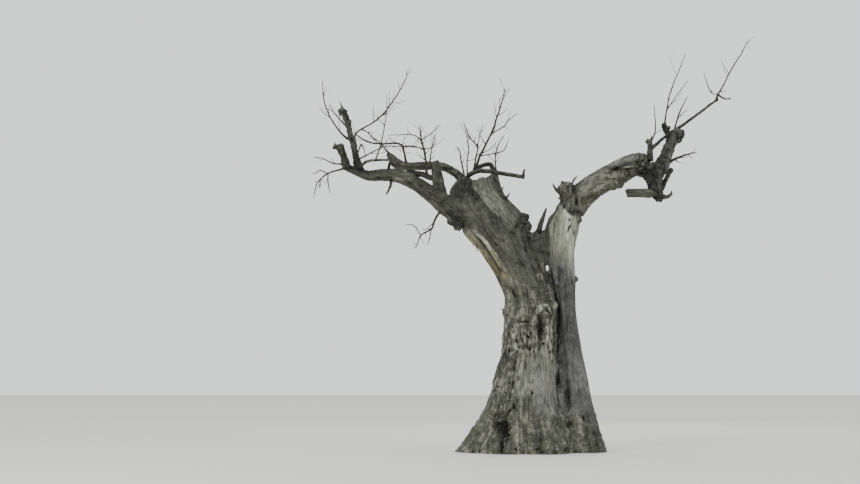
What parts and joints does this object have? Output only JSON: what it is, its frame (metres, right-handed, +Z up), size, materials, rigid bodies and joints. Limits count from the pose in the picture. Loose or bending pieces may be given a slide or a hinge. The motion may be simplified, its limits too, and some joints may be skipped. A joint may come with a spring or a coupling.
{
  "type": "dead pollard tree",
  "caption": "Old dead pollard tree: a hollowed, root-flared trunk forks into two broken limbs with stubbed boughs and sparse bare twigs.",
  "frame": {"origin": "on the flat cut under the trunk, near its middle, at ground level", "axes": "+Z up the trunk, -Y towards the side the tree is mostly seen from, +X from the left limb to the right stem"},
  "size_m": [7.2879, 1.9983, 6.8625],
  "materials": {
    "bark": "grey, cracked and fissured dead bark, matt",
    "bare_wood": "bleached, barkless, long-grained wood, matt",
    "twigs": "thin dry brown-grey twigs, matt"
  },
  "bodies": {
    "root": {"trunk": "bark", "right_stem": "bare_wood", "left_limb": "bark", "broken_stem": "bark", "splinter": "bark", "burl": "bark", "arch": "bark", "hook": "bark", "hook_arm": "bark", "hook_nub": "bark", "hook_spur": "bark", "high_bough": "bark", "high_nub": "bark", "short_stub": "bark", "long_strut": "bark", "left_bough": "bark", "left_stub": "bark", "upright_bough": "bark", "slant_stump": "bark", "link_bough": "bark", "upper_bough": "bark", "right_spray_bough": "bark", "spray_hook": "bark", "spray_loop": "bark", "thin_bough": "bark", "prop_bough": "bark", "under_peg": "bark", "twigs_far_left": "twigs", "twigs_upright_side": "twigs", "twigs_upright_tip": "twigs", "twigs_upright_long": "twigs", "twigs_left_whip": "twigs", "twigs_upper_arch": "twigs", "twigs_upper_tip": "twigs", "twigs_left_arc": "twigs", "twigs_left_crook": "twigs", "twigs_left_end": "twigs", "twigs_left_drooping": "twigs", "twigs_stump_tip": "twigs", "twigs_upper_mid": "twigs", "twigs_shoulder_left": "twigs", "twigs_shoulder_mid": "twigs", "twigs_shoulder_right": "twigs", "twigs_tall_crest": "twigs", "twigs_crest_right": "twigs", "twigs_hanging": "twigs", "twigs_burl_left": "twigs", "twigs_burl_top": "twigs", "twigs_bough_side": "twigs", "twigs_nub_whips": "twigs", "twigs_head_whip": "twigs", "twigs_stub_whip": "twigs", "twigs_summit": "twigs"}
  },
  "joints": []
}
